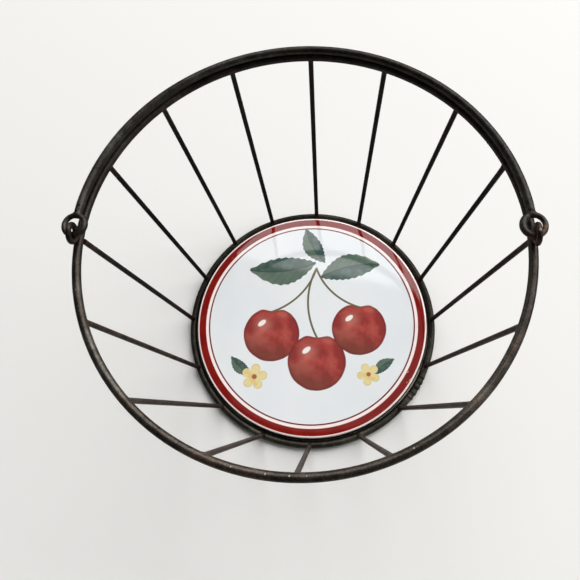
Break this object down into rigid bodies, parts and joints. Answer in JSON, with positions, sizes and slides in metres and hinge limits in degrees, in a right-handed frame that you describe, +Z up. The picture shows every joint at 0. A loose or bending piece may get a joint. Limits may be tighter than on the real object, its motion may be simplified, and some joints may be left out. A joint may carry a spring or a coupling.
{
  "type": "open wire basket",
  "caption": "Round open basket of dark metal rods, wider at the rim, with a glazed tile for a floor and a bail handle that folds down on the rim.",
  "frame": {"origin": "centre of the pan's flat underside, which is level with the lowest line of the base ring", "axes": "+Z up along the basket's axis; +X to the right along the line that the handle turns about; +Y to the back, where the handle lies folded"},
  "size_m": [0.2622, 0.2545, 0.1736],
  "materials": {
    "rim_metal": "dark brown-black satin coat, worn",
    "base_metal": "dark brown-black satin coat, rougher at the weld",
    "spoke_metal": "dark brown-black satin coat",
    "eye_metal": "dark coat worn to rust",
    "pan_metal": "dull dark coat",
    "handle_metal": "dark brown-black satin coat",
    "tile_glaze": "high gloss, cool white with a red border"
  },
  "bodies": {
    "basket": {"rim_ring": "rim_metal", "rim_eye_left": "eye_metal", "rim_eye_right": "eye_metal", "spoke_01": "spoke_metal", "spoke_02": "spoke_metal", "spoke_03": "spoke_metal", "spoke_04": "spoke_metal", "spoke_05": "spoke_metal", "spoke_06": "spoke_metal", "spoke_07": "spoke_metal", "spoke_08": "spoke_metal", "spoke_09": "spoke_metal", "spoke_10": "spoke_metal", "spoke_11": "spoke_metal", "spoke_12": "spoke_metal", "spoke_13": "spoke_metal", "spoke_14": "spoke_metal", "spoke_15": "spoke_metal", "spoke_16": "spoke_metal", "base_ring": "base_metal", "base_pan": "pan_metal", "tile": "tile_glaze"},
    "handle": {"handle": "handle_metal"}
  },
  "joints": [
    {"name": "handle_swing", "type": "hinge", "parent": "basket", "child": "handle", "pos_m": [0, 0, 0.16732], "axis": [1, 0, 0], "range_deg": [0, 183.6]}
  ]
}
